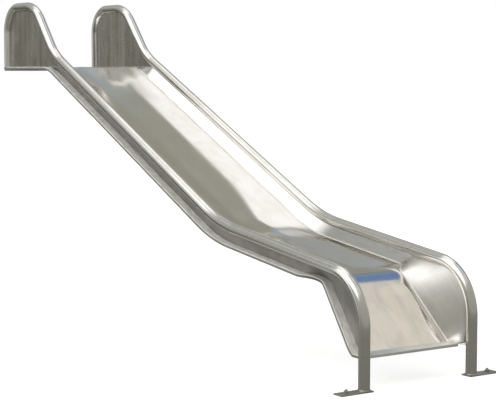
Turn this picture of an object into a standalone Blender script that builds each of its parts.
"""Stainless steel playground slide that fastens to the edge of a platform.

Metres, +Z up, +X towards the exit. The origin is the centre of the flange that
meets the platform, so the ground lies below zero. Left and right are those of
the person who slides down: left is +Y.
"""

import math

import bmesh
import bpy

# Driving dimensions
GROUND_LEVEL = -1.351
START_LEVEL = 0.012
RAIL_SPACING = 0.600
TUBE_RADIUS = 0.0254
SHEET = 0.003
GAP = 0.0003

# Centre line of the bent tube, seen from the side: x, z and bend radius at each corner
TUBE_BACK = TUBE_RADIUS
LEG_X = 3.5676
TUBE_CORNERS = [
    (TUBE_BACK, 0.3689, 0.1502),
    (0.4146, 0.3689, 0.2451),
    (0.6726, 0.0790, 0.4167),
    (2.4462, -0.7406, 0.9295),
    (LEG_X, -0.8778, 0.2387),
]

# Top face of the sliding bed, seen from the side
BED_END = (3.4707, -1.2058)
BED_CORNERS = [
    (0.6042, START_LEVEL, 0.300),
    (2.3935, -0.8149, 0.8985),
    (3.1888, -0.9122, 0.1500),
]

# Where the sheets and the tubes are joined end to end
BED_JOINTS = (0.780, 2.190, 3.085)
TUBE_JOINTS = (0.820, 2.230, 3.110)

# Cross-section. The crease is where bed and wall meet. At the crest it swings inwards, and
# down the exit it comes part of the way back, so the exit's walls lean more.
CREASE = 0.2696
CREST_START = 3.098
CREST_END = 3.209
CREST_INSET = 0.0695
EXIT_INSET = 0.0293
BED_MARGIN = 0.005
WALL_TOP = 0.2940
WALL_THICKNESS = 0.0032
WALL_START = 0.600
LIP_WIDTH = 0.0493
LIP_DEPTH = 0.014
WELD_REACH = TUBE_RADIUS + 0.0008

# Cheeks, feet and stiffeners
CHEEK_INNER = 0.2940
CHEEK_EDGE = 0.0257
CHEEK_TIP = 0.004
PLATE_LENGTH = 0.170
PLATE_WIDTH = 0.060
PLATE_THICKNESS = 0.006
PLATE_INNER = 0.270
HEM_DEPTH = 0.013
BAR_THICKNESS = 0.005
BAR_DEPTH = 0.009
BAR_PLACES = (0.45, 1.20, 1.90, 2.75)
FLANGE_THICKNESS = 0.005
FLANGE_BOTTOM = -0.012

# Fineness of the bends, the round tubes and the exit, and of the walls as a share of their length
# and as the least distance between two corners
BEND_STEP = math.radians(7.5)
EXIT_STEP = 0.025
WALL_STEP = 0.12
WALL_SPACING = 0.0015
TUBE_SIDES = 20
SHARP_ANGLE = math.radians(40)


def rounded(first, corners, last):
    """The side outline through the corners, each one rounded with its own radius."""
    points = [first]
    ends = [first] + [(x, z) for x, z, radius in corners] + [last]
    for index, (x, z, radius) in enumerate(corners):
        before, after = ends[index], ends[index + 2]
        angle_in = math.atan2(z - before[1], x - before[0])
        angle_out = math.atan2(after[1] - z, after[0] - x)
        turn = (angle_out - angle_in + math.pi) % (2 * math.pi) - math.pi
        reach = radius * math.tan(abs(turn) / 2)
        side = math.copysign(1, turn)
        start = (x - reach * math.cos(angle_in), z - reach * math.sin(angle_in))
        centre = (start[0] - side * radius * math.sin(angle_in),
                  start[1] + side * radius * math.cos(angle_in))
        steps = max(2, math.ceil(abs(turn) / BEND_STEP))
        for step in range(steps + 1):
            angle = angle_in + turn * step / steps
            points.append((centre[0] + side * radius * math.sin(angle),
                           centre[1] - side * radius * math.cos(angle)))
    points.append(last)
    return points


def lengths(points):
    """Distance of each point from the first one, along the outline."""
    total = [0.0]
    for a, b in zip(points, points[1:]):
        total.append(total[-1] + math.dist(a, b))
    return total


def at_length(points, distance, along=None):
    """The point of an outline at this distance, measured along it or along its parallel."""
    total = lengths(along or points)
    for index in range(len(points) - 1):
        if distance <= total[index + 1] or index == len(points) - 2:
            share = (distance - total[index]) / (total[index + 1] - total[index])
            a, b = points[index], points[index + 1]
            return (a[0] + share * (b[0] - a[0]), a[1] + share * (b[1] - a[1]))


def length_at_x(points, x):
    """How far along the outline it last passes x."""
    total = lengths(points)
    found = 0.0
    for index, (a, b) in enumerate(zip(points, points[1:])):
        if a[0] <= x <= b[0]:
            found = total[index] + (x - a[0]) / (b[0] - a[0]) * (total[index + 1] - total[index])
    return found


def piece(points, start, end):
    """The stretch of an outline between two distances along it."""
    total = lengths(points)
    inner = [p for p, d in zip(points, total) if start + 1e-4 < d < end - 1e-4]
    return [at_length(points, start)] + inner + [at_length(points, end)]


def stations(points):
    """Each point with the vector that carries it one unit to its left, mitred at bends."""
    normals = []
    for a, b in zip(points, points[1:]):
        run = math.dist(a, b)
        normals.append(((a[1] - b[1]) / run, (b[0] - a[0]) / run))
    result = []
    for index, point in enumerate(points):
        before = normals[max(index - 1, 0)]
        after = normals[min(index, len(normals) - 1)]
        both = (before[0] + after[0], before[1] + after[1])
        scale = 2 / (both[0] ** 2 + both[1] ** 2)
        result.append((point, (both[0] * scale, both[1] * scale)))
    return result


def offset(points, height):
    """The parallel of an outline at this height to its left."""
    return [lifted(p, n, height) for p, n in stations(points)]


def matched(lower, upper, low_edge, high_edge):
    """Pairs of points along the edges of two outlines, with a pair at every corner of either,
    apart from corners that nearly meet another one."""
    spans = [lengths(lower), lengths(upper)]
    shares = sorted(d / total[-1] for total in spans for d in total)
    kept = [0.0]
    for share in shares:
        while share - kept[-1] > WALL_STEP:
            kept.append(kept[-1] + WALL_STEP)
        if (share - kept[-1]) * spans[0][-1] > WALL_SPACING:
            kept.append(share)
    kept[-1] = 1.0
    return [[at_length(edge, share * total[-1], along=points) for share in kept]
            for edge, total, points in zip((low_edge, high_edge), spans, (lower, upper))]


def spread(points, count):
    """The outline again, with evenly spaced points."""
    total = lengths(points)[-1]
    return [at_length(points, total * index / (count - 1)) for index in range(count)]


def divided(points, step):
    """The outline again, with no stretch longer than the step."""
    result = [points[0]]
    for a, b in zip(points, points[1:]):
        count = math.ceil(math.dist(a, b) / step)
        result += [(a[0] + (b[0] - a[0]) * k / count, a[1] + (b[1] - a[1]) * k / count)
                   for k in range(1, count + 1)]
    return result


def crease(x):
    """Half the width of the bed at a place along the slide."""
    if x < CREST_END:
        share = min(max((x - CREST_START) / (CREST_END - CREST_START), 0.0), 1.0)
        return CREASE - CREST_INSET * share * share * (3 - 2 * share)
    share = min((x - CREST_END) / (BED_END[0] - EXIT_STEP - CREST_END), 1.0)
    return CREASE - CREST_INSET + (CREST_INSET - EXIT_INSET) * share


def lifted(point, normal, height):
    return (point[0] + normal[0] * height, point[1] + normal[1] * height)


def steel(name, shade, roughness):
    """Brushed stainless steel."""
    material = bpy.data.materials.new(name + "_steel")
    material.use_nodes = True
    shader = material.node_tree.nodes["Principled BSDF"]
    shader.inputs["Base Color"].default_value = (shade, shade * 0.985, shade * 0.95, 1)
    shader.inputs["Metallic"].default_value = 1.0
    shader.inputs["Roughness"].default_value = roughness
    material.diffuse_color = (shade, shade * 0.985, shade * 0.95, 1)
    return material


def solid(name, rings, shade=0.62, roughness=0.28, smooth=False, twisted=False):
    """Closed body through rings of points, each ring one cross-section. A twisted body's
    four-sided faces are split along their shorter diagonal, so that both sides of a sheet
    are split alike and stay parallel."""
    shape = bmesh.new()
    rows = [[shape.verts.new(p) for p in ring] for ring in rings]
    sides = len(rows[0])
    for near, far in zip(rows, rows[1:]):
        for index in range(sides):
            other = (index + 1) % sides
            shape.faces.new((near[index], near[other], far[other], far[index]))
    shape.faces.new(rows[0])
    shape.faces.new(reversed(rows[-1]))
    if twisted:
        bmesh.ops.triangulate(shape, faces=shape.faces, quad_method="SHORT_EDGE")
    bmesh.ops.recalc_face_normals(shape, faces=shape.faces)
    mesh = bpy.data.meshes.new(name)
    shape.to_mesh(mesh)
    shape.free()
    if smooth:
        mesh.shade_smooth()
        mesh.set_sharp_from_angle(angle=SHARP_ANGLE)
    made = bpy.data.objects.new(name, mesh)
    mesh.materials.append(steel(name, shade, roughness))
    bpy.context.scene.collection.objects.link(made)
    return made


def swept(name, points, section, **finish):
    """Carries the section along a side outline. The section is a function that gives the
    (y, height over the outline) of its corners at a point."""
    rings = []
    for point, normal in stations(points):
        ring = []
        for y, height in section(point):
            x, z = lifted(point, normal, height)
            ring.append((x, y, z))
        rings.append(ring)
    return solid(name, rings, smooth=True, **finish)


def tube(name, points, y, **finish):
    circle = [(y + TUBE_RADIUS * math.cos(2 * math.pi * k / TUBE_SIDES),
               TUBE_RADIUS * math.sin(2 * math.pi * k / TUBE_SIDES)) for k in range(TUBE_SIDES)]
    return swept(name, points, lambda point: circle, **finish)


def box(name, low, high, **finish):
    (x0, y0, z0), (x1, y1, z1) = low, high
    rings = [[(x, y0, z0), (x, y1, z0), (x, y1, z1), (x, y0, z1)] for x in (x0, x1)]
    return solid(name, rings, **finish)


def wall(name, side, feet, tops, **finish):
    """A leaning strip of sheet from the bed up to the underside of the rail."""
    rings = []
    for foot, top in zip(feet, tops):
        inner = crease(foot[0])
        ring = [(foot[0], side * inner, foot[1]),
                (foot[0], side * (inner + WALL_THICKNESS), foot[1]),
                (top[0], side * (WALL_TOP + WALL_THICKNESS), top[1]),
                (top[0], side * WALL_TOP, top[1])]
        rings.append(ring)
    return solid(name, rings, smooth=True, twisted=True, **finish)


def cheek(name, side, tube_points, **finish):
    """The upright sheet inside the hoop, level along its foot."""
    level = START_LEVEL + GAP
    inner = offset(spread(tube_points, 70), -CHEEK_EDGE)
    crown = [p for p in inner if p[1] > level + CHEEK_TIP]
    outline = [(crown[0][0], level), (crown[-1][0], level)] + list(reversed(crown))
    rings = [[(x, side * y, z) for x, z in outline] for y in (CHEEK_INNER, CHEEK_INNER + SHEET)]
    return solid(name, rings, **finish)


def start_tops(tube_points):
    """The top edge of the first wall: level under the cheek, then under the rail."""
    level = START_LEVEL - GAP
    under = offset(tube_points, -WELD_REACH)
    below = [p for p in under if p[0] > WALL_START and p[1] < level]
    last = under[under.index(below[0]) - 1]
    share = (last[1] - level) / (last[1] - below[0][1])
    corner = (last[0] + share * (below[0][0] - last[0]), level)
    return [(WALL_START, level), corner] + below


def cross_bar(name, bed_points, x, **finish):
    """A flat bar on edge under the bed, from one lip to the other."""
    middle = length_at_x(bed_points, x)
    ends = [at_length(bed_points, middle + shift) for shift in (-BAR_THICKNESS / 2, BAR_THICKNESS / 2)]
    reach = CREASE + LIP_WIDTH - SHEET - GAP
    top = -SHEET - GAP
    section = [(-reach, top), (reach, top), (reach, top - BAR_DEPTH), (-reach, top - BAR_DEPTH)]
    return swept(name, ends, lambda point: section, **finish)


def build():
    bed_line = rounded((0.0, START_LEVEL), BED_CORNERS, BED_END)
    tube_line = rounded((TUBE_BACK, START_LEVEL + GAP), TUBE_CORNERS,
                        (LEG_X, GROUND_LEVEL + PLATE_THICKNESS + GAP))
    half = GAP / 2
    names = ("start", "slope", "run_out", "exit")

    bed_cuts = [0.0] + [length_at_x(bed_line, x) for x in BED_JOINTS] + [lengths(bed_line)[-1]]
    beds = [piece(bed_line, a + half, b - half) for a, b in zip(bed_cuts, bed_cuts[1:])]
    beds[0][0] = bed_line[0]
    beds[-1][-1] = bed_line[-1]
    beds[-1] = divided(beds[-1], EXIT_STEP)
    tube_cuts = [0.0] + [length_at_x(tube_line, x) for x in TUBE_JOINTS] + [lengths(tube_line)[-1]]
    tubes = [piece(tube_line, a + half, b - half) for a, b in zip(tube_cuts, tube_cuts[1:])]
    tubes[0][0] = tube_line[0]
    tubes[-1][-1] = tube_line[-1]


    def sheet(point):
        edge = crease(point[0]) + BED_MARGIN
        return [(-edge, 0), (edge, 0), (edge, -SHEET), (-edge, -SHEET)]

    for name, points in zip(names, beds):
        swept("bed_" + name, points, sheet, shade=0.66, roughness=0.22)

    # The bottom lips follow the bed and then run level to the back of the legs
    ledge_end = LEG_X - TUBE_RADIUS - GAP
    lip_paths = beds[:3] + [beds[3] + [(ledge_end, BED_END[1])]]

    ledge_level = BED_END[1]
    for word, side in (("left", 1), ("right", -1)):
        def lip(point, side=side):
            inner = side * (crease(point[0]) + BED_MARGIN + GAP)
            outer = side * (crease(point[0]) + LIP_WIDTH)
            skin = outer - side * SHEET
            return [(inner, 0), (outer, 0), (outer, -LIP_DEPTH), (skin, -LIP_DEPTH), (skin, -SHEET), (inner, -SHEET)]

        for name, points in zip(names, lip_paths):
            swept(f"lip_{name}_{word}", points, lip, shade=0.60, roughness=0.30)

        for name, points in zip(("cheek_hoop", "slope_rail", "run_out_rail", "front_leg"), tubes):
            tube(f"{name}_{word}", points, side * RAIL_SPACING / 2, shade=0.64, roughness=0.20)

        first = piece(beds[0], length_at_x(beds[0], WALL_START), lengths(beds[0])[-1])
        tops = start_tops(tubes[0])
        feet, tops = matched(first, tops, offset(first, GAP), tops)
        wall(f"side_wall_start_{word}", side, feet, tops)
        for name, bed, rail in zip(names[1:], beds[1:], tubes[1:]):
            if name == "exit":
                rail = piece(rail, 0.0, lengths(rail)[-1] - (ledge_level + GAP - rail[-1][1]))
            feet, tops = matched(bed, rail, offset(bed, GAP), offset(rail, -WELD_REACH))
            if name == "exit":
                feet[-1] = (feet[-1][0], ledge_level + GAP)
            wall(f"side_wall_{name}_{word}", side, feet, tops)

        cheek(f"cheek_panel_{word}", side, tubes[0])

        plate_y = sorted((side * PLATE_INNER, side * (PLATE_INNER + PLATE_LENGTH)))
        box(f"foot_plate_{word}", (LEG_X - PLATE_WIDTH / 2, plate_y[0], GROUND_LEVEL),
            (LEG_X + PLATE_WIDTH / 2, plate_y[1], GROUND_LEVEL + PLATE_THICKNESS), roughness=0.35)

    back, front = BED_END[0] + GAP, ledge_end
    under, low = ledge_level - SHEET, ledge_level - HEM_DEPTH
    profile = [(back, ledge_level), (front, ledge_level), (front, low),
               (front - SHEET, low), (front - SHEET, under), (back, under)]
    hem_edge = crease(BED_END[0]) + BED_MARGIN
    rings = [[(x, y, z) for x, z in profile] for y in (-hem_edge, hem_edge)]
    solid("exit_hem", rings)
    reach = CREASE + LIP_WIDTH - SHEET - GAP
    box("platform_flange", (0.0, -reach, FLANGE_BOTTOM),
        (FLANGE_THICKNESS, reach, START_LEVEL - SHEET - GAP), roughness=0.35)
    for number, x in enumerate(BAR_PLACES, 1):
        cross_bar(f"cross_bar_{number}", bed_line, x, roughness=0.35)


for item in list(bpy.data.objects):
    bpy.data.objects.remove(item, do_unlink=True)
build()
